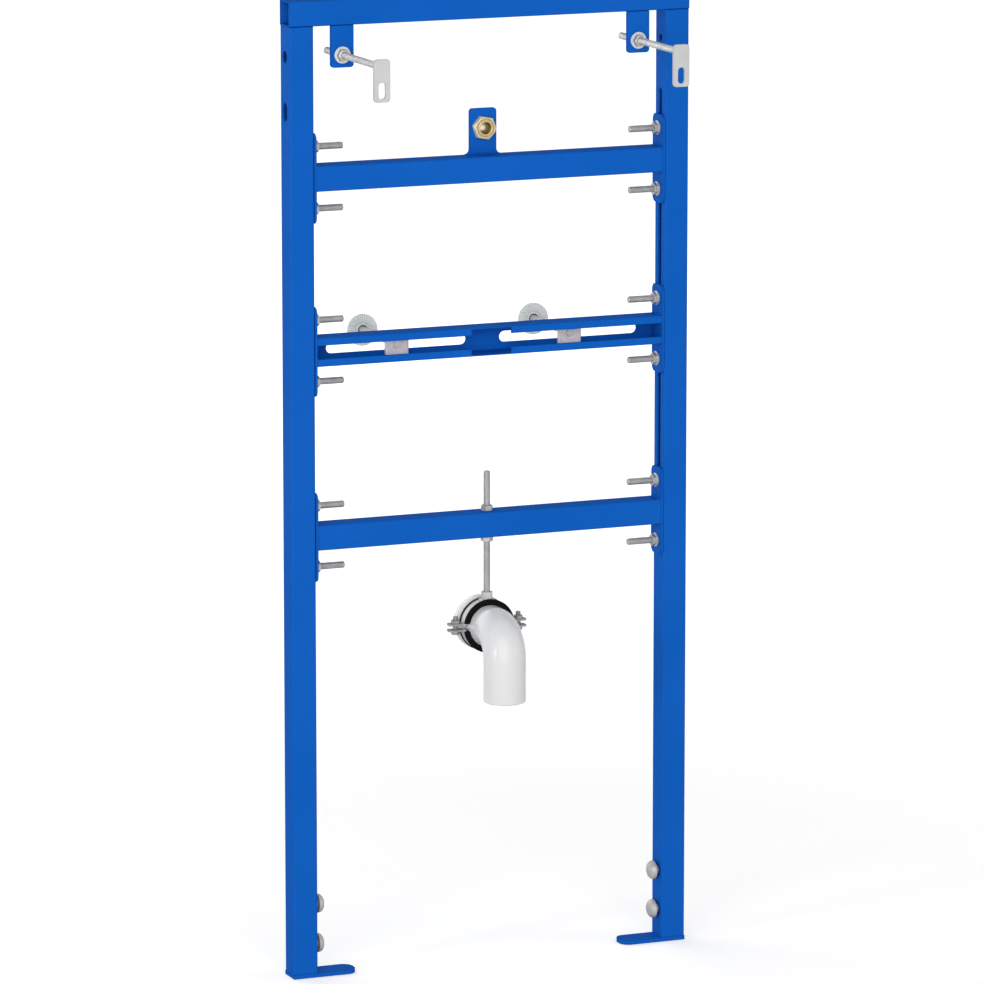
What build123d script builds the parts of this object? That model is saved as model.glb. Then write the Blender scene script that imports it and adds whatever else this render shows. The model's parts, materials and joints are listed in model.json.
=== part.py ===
"""Urinal installation frame, seen in the photograph from its wall side.

Origin: on the floor under the left post's axis. +Z up, +X along the crossbars to the
right post, -Y to the building wall, +Y to the urinal. Millimetres.
"""

import os

from build123d import *

os.makedirs("parts", exist_ok=True)

# Overall frame of square tube
frame_width = 500.0
post_top = 1120.0
tube = 30.0
tube_wall = 2.0
tube_radius = 2.5

# Drops of the three crossbars' centre lines below the posts' tops
upper_bar_drop = 176.0
slotted_bar_drop = 378.0
lower_bar_drop = 596.0

# Slot and holes in the posts
post_slot_drop = 93.0
post_slot_margin = 14.0
side_hole = 14.0
side_hole_drop = 35.0
side_slot_height = 21.0
side_slot_drop = 98.5
inner_hole = 8.5

# Bolted end plates of the crossbars
end_plate_thickness = 3.0
end_plate_height = 105.0
end_plate_radius = 8.0
bolt_pitch = 72.0
bolt_reach = 40.0
bolt_diameter = 8.0
hole_clearance = 1.0
bolt_head_thickness = 5.0
bolt_head_width = 7.6
head_side_gap = 3.0
tip_chamfer = 1.0
flange_diameter = 17.0
flange_thickness = 1.8
flange_bevel = 0.8
nut_width = 13.0
nut_height = 6.5

# Slotted crossbar: a lipped channel, open to the wall side
channel_height = 34.0
channel_wall = 2.0
lip_height = 9.0
lip_gap_width = 50.0
web_slot_margin = 21.0
web_slot_height = 13.0
web_bridge = 42.0

# Fixture studs that carry the urinal
stud_pitch = 218.0
stud_diameter = 10.0
stud_shank = 9.0
stud_inner_thread = 25.0
stud_free_end = 30.0
channel_nut_length = 28.5
channel_nut_thickness = 6.0
channel_nut_gap = 1.5
channel_nut_bevel = 1.5
disc_y = 118.0
disc_diameter = 38.0
disc_thickness = 4.0
disc_recess = 12.0
disc_recess_depth = 2.0
disc_bevel = 0.6

# Wall fixings under the top rail
tab_centre = 50.0
tab_width = 28.0
tab_thickness = 4.0
tab_drop = 48.5
tab_radius = 4.0
wall_rod_drop = 34.0
wall_rod_tail = 46.5
wall_plate_y = 124.0
wall_plate_thickness = 3.0
wall_plate_width = 20.0
wall_plate_height = 49.0
wall_plate_radius = 4.0
wall_plate_above_rod = 8.8
wall_slot_length = 19.0
wall_slot_width = 8.6
wall_slot_edge = 3.6
washer_diameter = 19.6
washer_thickness = 1.6

# Water connection on the upper crossbar
water_tab_width = 33.5
water_tab_height = 53.5
water_tab_thickness = 4.0
water_tab_radius = 4.0
water_tab_flare = 6.0
water_drop = 22.6
connector_thread = 20.9
connector_bore = 14.0
connector_bore_depth = 12.0
connector_duct = 8.0
connector_hex_width = 25.0
connector_hex_height = 8.0
connector_hex_turn = -11.0
connector_lip = 18.8
connector_lip_height = 1.2
connector_lip_bevel = 0.5
connector_groove = 1.2
connector_tail = 14.0
connector_nut_width = 24.0
connector_nut_height = 6.0
connector_nut_turn = 30.0

# Waste connection under the lower crossbar
waste_drop = 122.0
pipe_diameter = 50.0
pipe_wall = 1.8
bend_radius = 30.0
waste_run = 25.0
waste_leg_length = 51.4
spigot_bevel = 1.2
socket_start = 13.0
socket_length = 22.0
socket_shoulder = 1.5
socket_wall = 2.4
socket_clearance = 0.4
seal_groove_width = 6.8
seal_groove_depth = 4.6
seal_groove_edge = 10.6
seal_lip = 0.8

# Pipe clamp and its hanger rod
clamp_width = 13.0
clamp_band = 1.8
lining_thickness = 4.0
lining_clearance = 0.1
lining_flange = 2.5
lining_flange_rise = 1.0
clamp_split = 5.0
ear_reach = 18.0
ear_thickness = 2.2
ear_radius = 3.0
clamp_screw = 6.0
clamp_screw_head = 10.0
clamp_screw_head_height = 4.0
clamp_screw_rise = 8.5
clamp_nut_width = 10.0
clamp_nut_height = 4.0
boss_width = 12.4
boss_height = 9.0
rod_diameter = 8.0
rod_above_bar = 47.0

# Feet
sole_thickness = 5.0
sole_reach = 50.0
sole_radius = 12.0
foot_upright_height = 115.0
foot_upright_thickness = 5.0
foot_upright_gap = 1.0
foot_bolt_low = 38.0
foot_bolt_pitch = 47.6
foot_neck_diameter = 11.0
foot_neck = 4.0
foot_head_diameter = 22.5
foot_head_height = 8.0
foot_head_rim = 1.0
foot_bolt_past = 3.0

# Places that follow from those sizes
half = tube / 2
post_pitch = frame_width - tube
mid_x = post_pitch / 2
middle = Plane.YZ.offset(mid_x)
inside = half - tube_wall
bar_start = half + end_plate_thickness
bar_length = post_pitch - 2 * bar_start
hole = bolt_diameter + hole_clearance
upper_bar_z = post_top - upper_bar_drop
slotted_bar_z = post_top - slotted_bar_drop
lower_bar_z = post_top - lower_bar_drop
waste_z = lower_bar_z - waste_drop
waste_leg_y = waste_run + bend_radius
waste_outlet_z = waste_z - bend_radius - waste_leg_length
post_slot_top = post_top - post_slot_drop
web_slot_length = (bar_length - web_bridge) / 2 - web_slot_margin
post_slot_bottom = lower_bar_z - bolt_pitch / 2 - post_slot_margin
post_slot_length = post_slot_top - post_slot_bottom
wall_rod_z = post_top - wall_rod_drop
water_z = upper_bar_z + half + water_tab_height - water_drop
stud_x = mid_x - stud_pitch / 2
pipe_radius = pipe_diameter / 2
lining_inside = pipe_radius + lining_clearance
band_inside = lining_inside + lining_thickness
band_outside = band_inside + clamp_band
waste_axis = Axis((mid_x, 0, waste_z), (0, 1, 0))

# Posts: square tube with the long slot that the crossbars' bolts slide in
with BuildPart() as left_post:
    with BuildSketch(Plane.XY.offset(sole_thickness)):
        RectangleRounded(tube, tube, tube_radius)
        Rectangle(2 * inside, 2 * inside, mode=Mode.SUBTRACT)
    extrude(amount=post_top - sole_thickness)
    with BuildSketch(Plane.YZ.offset(half - tube_wall / 2)):
        with Locations((0, post_slot_bottom + post_slot_length / 2)):
            SlotOverall(post_slot_length, hole, rotation=90)
        with Locations((0, wall_rod_z)):
            Circle(inner_hole / 2)
        with Locations((0, foot_bolt_low), (0, foot_bolt_low + foot_bolt_pitch)):
            Circle(hole / 2)
    extrude(amount=tube_wall, both=True, mode=Mode.SUBTRACT)
    with BuildSketch(Plane.YZ.offset(tube_wall / 2 - half)):
        with Locations((0, post_top - side_hole_drop)):
            Circle(side_hole / 2)
        with Locations((0, post_top - side_slot_drop)):
            SlotOverall(side_slot_height, side_hole, rotation=90)
    extrude(amount=tube_wall, both=True, mode=Mode.SUBTRACT)
left_post.part.label = "left_post"
export_step(left_post.part, "parts/left_post.step")

with BuildPart() as right_post:
    mirror(left_post.part, about=middle)
right_post.part.label = "right_post"
export_step(right_post.part, "parts/right_post.step")

# Top rail: the same tube laid across both posts, its ends open
with BuildPart() as top_rail:
    with BuildSketch(Plane.YZ.offset(-half)):
        with Locations((0, post_top + half)):
            RectangleRounded(tube, tube, tube_radius)
            Rectangle(2 * inside, 2 * inside, mode=Mode.SUBTRACT)
    extrude(amount=frame_width)
top_rail.part.label = "top_rail"
export_step(top_rail.part, "parts/top_rail.step")

# Wall fixings: a tab under the rail, a threaded rod through it and a slotted plate
with BuildPart() as left_wall_tab:
    with BuildSketch(Plane.XZ.offset(half)):
        with Locations((tab_centre, post_top - tab_drop / 2)):
            Rectangle(tab_width, tab_drop)
        with Locations((tab_centre, wall_rod_z)):
            Circle(hole / 2, mode=Mode.SUBTRACT)
    extrude(amount=-tab_thickness)
    fillet(left_wall_tab.edges().filter_by(Axis.Y).group_by(Axis.Z)[0], tab_radius)
left_wall_tab.part.label = "left_wall_tab"
export_step(left_wall_tab.part, "parts/left_wall_tab.step")

with BuildPart() as right_wall_tab:
    mirror(left_wall_tab.part, about=middle)
right_wall_tab.part.label = "right_wall_tab"
export_step(right_wall_tab.part, "parts/right_wall_tab.step")

plate_back = wall_plate_y + half - wall_plate_thickness
with BuildPart() as left_wall_plate:
    with BuildSketch(Plane.XZ.offset(plate_back)):
        with Locations((tab_centre, wall_rod_z + wall_plate_above_rod - wall_plate_height / 2)):
            RectangleRounded(wall_plate_width, wall_plate_height, wall_plate_radius)
        slot_z = wall_rod_z + wall_plate_above_rod - wall_plate_height + wall_slot_edge
        with Locations((tab_centre, slot_z + wall_slot_length / 2)):
            SlotOverall(wall_slot_length, wall_slot_width, rotation=90, mode=Mode.SUBTRACT)
    extrude(amount=wall_plate_thickness)
left_wall_plate.part.label = "left_wall_plate"
export_step(left_wall_plate.part, "parts/left_wall_plate.step")

with BuildPart() as right_wall_plate:
    mirror(left_wall_plate.part, about=middle)
right_wall_plate.part.label = "right_wall_plate"
export_step(right_wall_plate.part, "parts/right_wall_plate.step")

rod_tail_y = half - tab_thickness - wall_rod_tail
with BuildPart() as left_wall_rod:
    with BuildSketch(Plane.XZ.offset(plate_back)):
        with Locations((tab_centre, wall_rod_z)):
            Circle(bolt_diameter / 2)
    extrude(amount=rod_tail_y - plate_back)
    chamfer(left_wall_rod.edges().group_by(Axis.Y)[-1], tip_chamfer)
left_wall_rod.part.label = "left_wall_rod"
export_step(left_wall_rod.part, "parts/left_wall_rod.step")

with BuildPart() as right_wall_rod:
    mirror(left_wall_rod.part, about=middle)
right_wall_rod.part.label = "right_wall_rod"
export_step(right_wall_rod.part, "parts/right_wall_rod.step")

# A washer and a nut lock each rod on both faces of its tab
tab_back = half - tab_thickness
with BuildPart() as wall_rod_washers:
    for face_y, way in ((half, 1), (tab_back, -1)):
        with BuildSketch(Plane.XZ.offset(face_y)):
            with Locations((tab_centre, wall_rod_z)):
                Circle(washer_diameter / 2)
                Circle(bolt_diameter / 2, mode=Mode.SUBTRACT)
        extrude(amount=way * washer_thickness)
    mirror(about=middle)
wall_rod_washers.part.label = "wall_rod_washers"
export_step(wall_rod_washers.part, "parts/wall_rod_washers.step")

with BuildPart() as wall_rod_nuts:
    for face_y, way in ((half + washer_thickness, 1), (tab_back - washer_thickness, -1)):
        with BuildSketch(Plane.XZ.offset(face_y)):
            with Locations((tab_centre, wall_rod_z)):
                RegularPolygon(nut_width / 2, 6, major_radius=False)
                Circle(bolt_diameter / 2, mode=Mode.SUBTRACT)
        extrude(amount=way * nut_height)
    mirror(about=middle)
wall_rod_nuts.part.label = "wall_rod_nuts"
export_step(wall_rod_nuts.part, "parts/wall_rod_nuts.step")

# Upper crossbar: plain tube between its end plates
with BuildPart() as upper_crossbar:
    with BuildSketch(Plane.YZ.offset(bar_start)):
        with Locations((0, upper_bar_z)):
            RectangleRounded(tube, tube, tube_radius)
            Rectangle(2 * inside, 2 * inside, mode=Mode.SUBTRACT)
    extrude(amount=bar_length)
upper_crossbar.part.label = "upper_crossbar"
export_step(upper_crossbar.part, "parts/upper_crossbar.step")

# Lower crossbar: the same tube, drilled for the hanger rod
with BuildPart() as lower_crossbar:
    with BuildSketch(Plane.YZ.offset(bar_start)):
        with Locations((0, lower_bar_z)):
            RectangleRounded(tube, tube, tube_radius)
            Rectangle(2 * inside, 2 * inside, mode=Mode.SUBTRACT)
    extrude(amount=bar_length)
    with BuildSketch(Plane.XY.offset(lower_bar_z)):
        with Locations((mid_x, 0)):
            Circle((rod_diameter + hole_clearance) / 2)
    extrude(amount=tube, both=True, mode=Mode.SUBTRACT)
lower_crossbar.part.label = "lower_crossbar"
export_step(lower_crossbar.part, "parts/lower_crossbar.step")

# Slotted crossbar: lipped channel with two long slots in its web
half_channel = channel_height / 2
web_face = half - channel_wall
slot_centre = (web_bridge + web_slot_length) / 2
with BuildPart() as slotted_crossbar:
    with BuildSketch(Plane.YZ.offset(bar_start)):
        with Locations((0, slotted_bar_z)):
            RectangleRounded(tube, channel_height, tube_radius)
            Rectangle(
                tube - 2 * channel_wall,
                channel_height - 2 * channel_wall,
                mode=Mode.SUBTRACT,
            )
        with Locations((channel_wall / 2 - half, slotted_bar_z)):
            Rectangle(2 * channel_wall, channel_height - 2 * lip_height, mode=Mode.SUBTRACT)
    extrude(amount=bar_length)
    with BuildSketch(Plane.XZ.offset(half - channel_wall)):
        with Locations((mid_x, slotted_bar_z)):
            Rectangle(lip_gap_width, channel_height - 2 * channel_wall)
    extrude(amount=2 * channel_wall, mode=Mode.SUBTRACT)
    with BuildSketch(Plane.XZ.offset(-web_face)):
        with Locations((mid_x - slot_centre, slotted_bar_z), (mid_x + slot_centre, slotted_bar_z)):
            SlotOverall(web_slot_length, web_slot_height)
    extrude(amount=2 * channel_wall, both=True, mode=Mode.SUBTRACT)
slotted_crossbar.part.label = "slotted_crossbar"
export_step(slotted_crossbar.part, "parts/slotted_crossbar.step")

# End plates, hammer-head bolts and flange nuts, alike on the three crossbars
crossbars = (
    ("upper_crossbar", upper_bar_z),
    ("slotted_crossbar", slotted_bar_z),
    ("lower_crossbar", lower_bar_z),
)
for bar_name, bar_z in crossbars:
    bolt_places = [(0, bar_z - bolt_pitch / 2), (0, bar_z + bolt_pitch / 2)]

    with BuildPart() as end_plates:
        with BuildSketch(Plane.YZ.offset(half)):
            with Locations((0, bar_z)):
                RectangleRounded(tube, end_plate_height, end_plate_radius)
            with Locations(*bolt_places):
                Circle(hole / 2, mode=Mode.SUBTRACT)
        extrude(amount=end_plate_thickness)
        mirror(about=middle)
    end_plates.part.label = bar_name + "_end_plates"
    export_step(end_plates.part, "parts/" + bar_name + "_end_plates.step")

    with BuildPart() as bolts:
        with BuildSketch(Plane.YZ.offset(inside)):
            with Locations(*bolt_places):
                Circle(bolt_diameter / 2)
        extrude(amount=tube_wall + bolt_reach)
        chamfer(bolts.edges().group_by(Axis.X)[-1], tip_chamfer)
        with BuildSketch(Plane.YZ.offset(inside)):
            with Locations(*bolt_places):
                SlotOverall(2 * (inside - head_side_gap), bolt_head_width)
        extrude(amount=-bolt_head_thickness)
        mirror(about=middle)
    bolts.part.label = bar_name + "_bolts"
    export_step(bolts.part, "parts/" + bar_name + "_bolts.step")

    with BuildPart() as nuts:
        with BuildSketch(Plane.YZ.offset(bar_start)):
            with Locations(*bolt_places):
                Circle(flange_diameter / 2)
        extrude(amount=flange_thickness)
        chamfer(nuts.edges().group_by(Axis.X)[-1], flange_bevel)
        with BuildSketch(Plane.YZ.offset(bar_start + flange_thickness)):
            with Locations(*bolt_places):
                RegularPolygon(nut_width / 2, 6, major_radius=False, rotation=30)
        extrude(amount=nut_height - flange_thickness)
        with BuildSketch(Plane.YZ.offset(bar_start)):
            with Locations(*bolt_places):
                Circle(bolt_diameter / 2)
        extrude(amount=nut_height, mode=Mode.SUBTRACT)
        mirror(about=middle)
    nuts.part.label = bar_name + "_nuts"
    export_step(nuts.part, "parts/" + bar_name + "_nuts.step")

# Channel nuts in the slotted crossbar, with the studs that carry the urinal
nut_face = web_face - channel_nut_thickness
channel_nut_height = channel_height - 2 * channel_wall - 2 * channel_nut_gap
with BuildPart() as left_channel_nut:
    with BuildSketch(Plane.XZ.offset(-web_face)):
        with Locations((stud_x, slotted_bar_z)):
            Rectangle(channel_nut_length, channel_nut_height)
            Circle(stud_diameter / 2, mode=Mode.SUBTRACT)
    extrude(amount=channel_nut_thickness)
    rim = left_channel_nut.faces().sort_by(Axis.Y)[0].outer_wire().edges()
    chamfer(rim, channel_nut_bevel)
left_channel_nut.part.label = "left_channel_nut"
export_step(left_channel_nut.part, "parts/left_channel_nut.step")

with BuildPart() as right_channel_nut:
    mirror(left_channel_nut.part, about=middle)
right_channel_nut.part.label = "right_channel_nut"
export_step(right_channel_nut.part, "parts/right_channel_nut.step")

stud_radius = stud_diameter / 2
shank_radius = stud_shank / 2
shank_start = nut_face + stud_inner_thread
shank_end = disc_y + disc_thickness
stud_end = shank_end + stud_free_end
stud_axis = Axis((stud_x, 0, slotted_bar_z), (0, 1, 0))
with BuildPart() as left_fixture_stud:
    with BuildSketch(Plane.XY.offset(slotted_bar_z)):
        with BuildLine():
            Polyline(
                (stud_x + stud_radius, shank_end),
                (stud_x + stud_radius, stud_end - tip_chamfer),
                (stud_x + stud_radius - tip_chamfer, stud_end),
                (stud_x, stud_end),
                (stud_x, nut_face),
                (stud_x + stud_radius, nut_face),
                (stud_x + stud_radius, shank_start),
                (stud_x + shank_radius, shank_start + stud_radius - shank_radius),
                (stud_x + shank_radius, shank_end),
                close=True,
            )
        make_face()
    revolve(axis=stud_axis)
left_fixture_stud.part.label = "left_fixture_stud"
export_step(left_fixture_stud.part, "parts/left_fixture_stud.step")

with BuildPart() as right_fixture_stud:
    mirror(left_fixture_stud.part, about=middle)
right_fixture_stud.part.label = "right_fixture_stud"
export_step(right_fixture_stud.part, "parts/right_fixture_stud.step")

with BuildPart() as stud_discs:
    with BuildSketch(Plane.XZ.offset(-disc_y)):
        with Locations((stud_x, slotted_bar_z)):
            Circle(disc_diameter / 2)
    extrude(amount=-disc_thickness)
    chamfer(stud_discs.edges(), disc_bevel)
    with BuildSketch(Plane.XZ.offset(-disc_y)):
        with Locations((stud_x, slotted_bar_z)):
            Circle(shank_radius)
    extrude(amount=-disc_thickness, mode=Mode.SUBTRACT)
    with BuildSketch(Plane.XZ.offset(-disc_y)):
        with Locations((stud_x, slotted_bar_z)):
            Circle(disc_recess / 2)
    extrude(amount=-disc_recess_depth, mode=Mode.SUBTRACT)
    mirror(about=middle)
stud_discs.part.label = "stud_discs"
export_step(stud_discs.part, "parts/stud_discs.step")

# Water tab standing on the upper crossbar, with the brass connector through it
tab_foot = upper_bar_z + half
with BuildPart() as water_tab:
    with BuildSketch(Plane.XZ.offset(-half)):
        with Locations((mid_x, tab_foot + water_tab_height / 2)):
            Rectangle(water_tab_width, water_tab_height)
        with Locations((mid_x, tab_foot + water_tab_flare / 2)):
            Rectangle(water_tab_width + 2 * water_tab_flare, water_tab_flare)
        for side in (-1, 1):
            with Locations((mid_x + side * (water_tab_width / 2 + water_tab_flare), tab_foot + water_tab_flare)):
                Circle(water_tab_flare, mode=Mode.SUBTRACT)
        with Locations((mid_x, water_z)):
            Circle(connector_thread / 2, mode=Mode.SUBTRACT)
    extrude(amount=water_tab_thickness)
    fillet(water_tab.edges().filter_by(Axis.Y).group_by(Axis.Z)[-1], water_tab_radius)
water_tab.part.label = "water_tab"
export_step(water_tab.part, "parts/water_tab.step")

tab_near = half - water_tab_thickness
hex_near = tab_near - connector_hex_height
lip_near = hex_near - connector_lip_height
connector_length = half + connector_tail - lip_near
with BuildPart() as water_connector:
    with BuildSketch(Plane.XZ.offset(-tab_near)):
        with Locations((mid_x, water_z)):
            RegularPolygon(connector_hex_width / 2, 6, major_radius=False, rotation=connector_hex_turn)
    extrude(amount=connector_hex_height)
    with BuildSketch(Plane.XZ.offset(-hex_near)):
        with Locations((mid_x, water_z)):
            Circle(connector_lip / 2 + connector_groove)
            Circle(connector_lip / 2, mode=Mode.SUBTRACT)
    extrude(amount=-connector_groove, mode=Mode.SUBTRACT)
    with BuildSketch(Plane.XZ.offset(-hex_near)):
        with Locations((mid_x, water_z)):
            Circle(connector_lip / 2)
    extrude(amount=connector_lip_height)
    chamfer(water_connector.edges().group_by(Axis.Y)[0], connector_lip_bevel)
    with BuildSketch(Plane.XZ.offset(-tab_near)):
        with Locations((mid_x, water_z)):
            Circle(connector_thread / 2)
    extrude(amount=-water_tab_thickness - connector_tail)
    chamfer(water_connector.edges().group_by(Axis.Y)[-1], tip_chamfer)
    with BuildSketch(Plane.XZ.offset(-lip_near)):
        with Locations((mid_x, water_z)):
            Circle(connector_bore / 2)
    extrude(amount=-connector_bore_depth, mode=Mode.SUBTRACT)
    with BuildSketch(Plane.XZ.offset(-lip_near)):
        with Locations((mid_x, water_z)):
            Circle(connector_duct / 2)
    extrude(amount=-connector_length, mode=Mode.SUBTRACT)
water_connector.part.label = "water_connector"
export_step(water_connector.part, "parts/water_connector.step")

with BuildPart() as water_connector_nut:
    with BuildSketch(Plane.XZ.offset(-half)):
        with Locations((mid_x, water_z)):
            RegularPolygon(connector_nut_width / 2, 6, major_radius=False, rotation=connector_nut_turn)
            Circle(connector_thread / 2, mode=Mode.SUBTRACT)
    extrude(amount=-connector_nut_height)
water_connector_nut.part.label = "water_connector_nut"
export_step(water_connector_nut.part, "parts/water_connector_nut.step")

# Hanger rod through the lower crossbar, locked by two nuts
boss_top = waste_z + band_outside + boss_height
rod_top = lower_bar_z + half + rod_above_bar
with BuildPart() as hanger_rod:
    with BuildSketch(Plane.XY.offset(waste_z + band_outside)):
        with Locations((mid_x, 0)):
            Circle(rod_diameter / 2)
    extrude(amount=rod_top - waste_z - band_outside)
    chamfer(hanger_rod.edges().group_by(Axis.Z)[-1], tip_chamfer)
hanger_rod.part.label = "hanger_rod"
export_step(hanger_rod.part, "parts/hanger_rod.step")

with BuildPart() as hanger_rod_nuts:
    for face_z, way in ((lower_bar_z + half, 1), (lower_bar_z - half, -1)):
        with BuildSketch(Plane.XY.offset(face_z)):
            with Locations((mid_x, 0)):
                RegularPolygon(nut_width / 2, 6, major_radius=False)
                Circle(rod_diameter / 2, mode=Mode.SUBTRACT)
        extrude(amount=way * nut_height)
hanger_rod_nuts.part.label = "hanger_rod_nuts"
export_step(hanger_rod_nuts.part, "parts/hanger_rod_nuts.step")

# Pipe clamp: two bands with ears, each with a rubber lining
ear_end = band_outside + ear_reach
screw_x = (band_outside + ear_end) / 2
split_top = Plane.XY.offset(waste_z + clamp_split / 2)
split_bottom = Plane.XY.offset(waste_z - clamp_split / 2)
with BuildPart() as clamp_upper_band:
    with BuildSketch(Plane.XZ):
        with Locations((mid_x, waste_z)):
            Circle(band_outside)
        with Locations((mid_x, waste_z + clamp_split / 2 + ear_thickness / 2)):
            Rectangle(2 * ear_end, ear_thickness)
        with Locations((mid_x, waste_z)):
            Circle(band_inside, mode=Mode.SUBTRACT)
    extrude(amount=clamp_width / 2, both=True)
    split(bisect_by=split_top, keep=Keep.TOP)
    with BuildSketch(Plane.XY.offset(waste_z)):
        with Locations((mid_x - screw_x, 0), (mid_x + screw_x, 0)):
            Circle((clamp_screw + hole_clearance) / 2)
    extrude(amount=clamp_split + ear_thickness, mode=Mode.SUBTRACT)
    corners = clamp_upper_band.edges().filter_by(Axis.Z).group_by(Axis.X)
    fillet(corners[0] + corners[-1], ear_radius)
    with BuildSketch(Plane.XY.offset(waste_z + band_inside)):
        with Locations((mid_x, 0)):
            RegularPolygon(boss_width / 2, 6, major_radius=False)
    extrude(amount=clamp_band + boss_height)
    with BuildSketch(Plane.XY.offset(waste_z + band_outside)):
        with Locations((mid_x, 0)):
            Circle(rod_diameter / 2)
    extrude(amount=boss_height, mode=Mode.SUBTRACT)
clamp_upper_band.part.label = "clamp_upper_band"
export_step(clamp_upper_band.part, "parts/clamp_upper_band.step")

with BuildPart() as clamp_lower_band:
    with BuildSketch(Plane.XZ):
        with Locations((mid_x, waste_z)):
            Circle(band_outside)
        with Locations((mid_x, waste_z - clamp_split / 2 - ear_thickness / 2)):
            Rectangle(2 * ear_end, ear_thickness)
        with Locations((mid_x, waste_z)):
            Circle(band_inside, mode=Mode.SUBTRACT)
    extrude(amount=clamp_width / 2, both=True)
    split(bisect_by=split_bottom, keep=Keep.BOTTOM)
    with BuildSketch(Plane.XY.offset(waste_z)):
        with Locations((mid_x - screw_x, 0), (mid_x + screw_x, 0)):
            Circle((clamp_screw + hole_clearance) / 2)
    extrude(amount=-clamp_split - ear_thickness, mode=Mode.SUBTRACT)
    corners = clamp_lower_band.edges().filter_by(Axis.Z).group_by(Axis.X)
    fillet(corners[0] + corners[-1], ear_radius)
clamp_lower_band.part.label = "clamp_lower_band"
export_step(clamp_lower_band.part, "parts/clamp_lower_band.step")

with BuildPart() as clamp_upper_lining:
    with BuildSketch(Plane.XZ):
        with Locations((mid_x, waste_z)):
            Circle(band_inside)
            Circle(lining_inside, mode=Mode.SUBTRACT)
    extrude(amount=clamp_width / 2, both=True)
    for edge_y, way in ((clamp_width / 2, 1), (-clamp_width / 2, -1)):
        with BuildSketch(Plane.XZ.offset(edge_y)):
            with Locations((mid_x, waste_z)):
                Circle(band_outside + lining_flange_rise)
                Circle(lining_inside, mode=Mode.SUBTRACT)
        extrude(amount=way * lining_flange)
    split(bisect_by=Plane.XY.offset(waste_z + clamp_split / 2 + ear_thickness), keep=Keep.TOP)
clamp_upper_lining.part.label = "clamp_upper_lining"
export_step(clamp_upper_lining.part, "parts/clamp_upper_lining.step")

with BuildPart() as clamp_lower_lining:
    mirror(clamp_upper_lining.part, about=Plane.XY.offset(waste_z))
clamp_lower_lining.part.label = "clamp_lower_lining"
export_step(clamp_lower_lining.part, "parts/clamp_lower_lining.step")

ear_under = waste_z - clamp_split / 2 - ear_thickness
ear_over = waste_z + clamp_split / 2 + ear_thickness
screw_places = [(mid_x - screw_x, 0), (mid_x + screw_x, 0)]
with BuildPart() as clamp_screws:
    with BuildSketch(Plane.XY.offset(ear_under)):
        with Locations(*screw_places):
            Circle(clamp_screw_head / 2)
    extrude(amount=-clamp_screw_head_height)
    chamfer(clamp_screws.edges().group_by(Axis.Z)[0], tip_chamfer)
    with BuildSketch(Plane.XY.offset(ear_under)):
        with Locations(*screw_places):
            Circle(clamp_screw / 2)
    extrude(amount=ear_over + clamp_screw_rise - ear_under)
    chamfer(clamp_screws.edges().group_by(Axis.Z)[-1], tip_chamfer)
clamp_screws.part.label = "clamp_screws"
export_step(clamp_screws.part, "parts/clamp_screws.step")

with BuildPart() as clamp_screw_nuts:
    with BuildSketch(Plane.XY.offset(ear_over)):
        with Locations(*screw_places):
            RegularPolygon(clamp_nut_width / 2, 6, major_radius=False)
            Circle(clamp_screw / 2, mode=Mode.SUBTRACT)
    extrude(amount=clamp_nut_height)
clamp_screw_nuts.part.label = "clamp_screw_nuts"
export_step(clamp_screw_nuts.part, "parts/clamp_screw_nuts.step")

# Waste elbow: one swept pipe with a moulded socket on its urinal side
socket_bore = pipe_radius + socket_clearance
socket_outside = socket_bore + socket_wall
socket_mouth = socket_start + socket_length
groove_end = socket_mouth - seal_groove_edge
groove_start = groove_end - seal_groove_width
groove_bore = socket_bore + seal_groove_depth
with BuildPart() as waste_elbow:
    with BuildLine() as waste_path:
        FilletPolyline(
            (mid_x, socket_start, waste_z),
            (mid_x, -waste_leg_y, waste_z),
            (mid_x, -waste_leg_y, waste_outlet_z),
            radius=bend_radius,
        )
    with BuildSketch(Plane(waste_path.line @ 0, z_dir=waste_path.line % 0)):
        Circle(pipe_radius)
        Circle(pipe_radius - pipe_wall, mode=Mode.SUBTRACT)
    sweep()
    chamfer(waste_elbow.edges().group_by(Axis.Z)[0].sort_by(SortBy.LENGTH)[-1], spigot_bevel)
    with BuildSketch(middle):
        with BuildLine():
            Polyline(
                (socket_start, waste_z + pipe_radius - pipe_wall),
                (socket_start, waste_z + pipe_radius),
                (socket_start + socket_shoulder, waste_z + socket_outside),
                (groove_start - socket_wall, waste_z + socket_outside),
                (groove_start, waste_z + groove_bore + socket_wall),
                (groove_end, waste_z + groove_bore + socket_wall),
                (groove_end + socket_wall, waste_z + socket_outside),
                (socket_mouth, waste_z + socket_outside),
                (socket_mouth, waste_z + socket_bore),
                (groove_end, waste_z + socket_bore),
                (groove_end, waste_z + groove_bore),
                (groove_start, waste_z + groove_bore),
                (groove_start, waste_z + socket_bore),
                (socket_start + socket_shoulder, waste_z + socket_bore),
                (socket_start + socket_shoulder, waste_z + pipe_radius - pipe_wall),
                close=True,
            )
        make_face()
    revolve(axis=waste_axis)
waste_elbow.part.label = "waste_elbow"
export_step(waste_elbow.part, "parts/waste_elbow.step")

with BuildPart() as waste_elbow_seal:
    with BuildSketch(middle):
        with BuildLine():
            Polyline(
                (groove_start, waste_z + groove_bore),
                (groove_end, waste_z + groove_bore),
                (groove_end, waste_z + socket_bore + seal_lip),
                (groove_start + seal_groove_width / 2, waste_z + socket_bore + seal_lip),
                (groove_start + seal_lip, waste_z + socket_bore),
                (groove_start, waste_z + socket_bore),
                close=True,
            )
        make_face()
    revolve(axis=waste_axis)
waste_elbow_seal.part.label = "waste_elbow_seal"
export_step(waste_elbow_seal.part, "parts/waste_elbow_seal.step")

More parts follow.
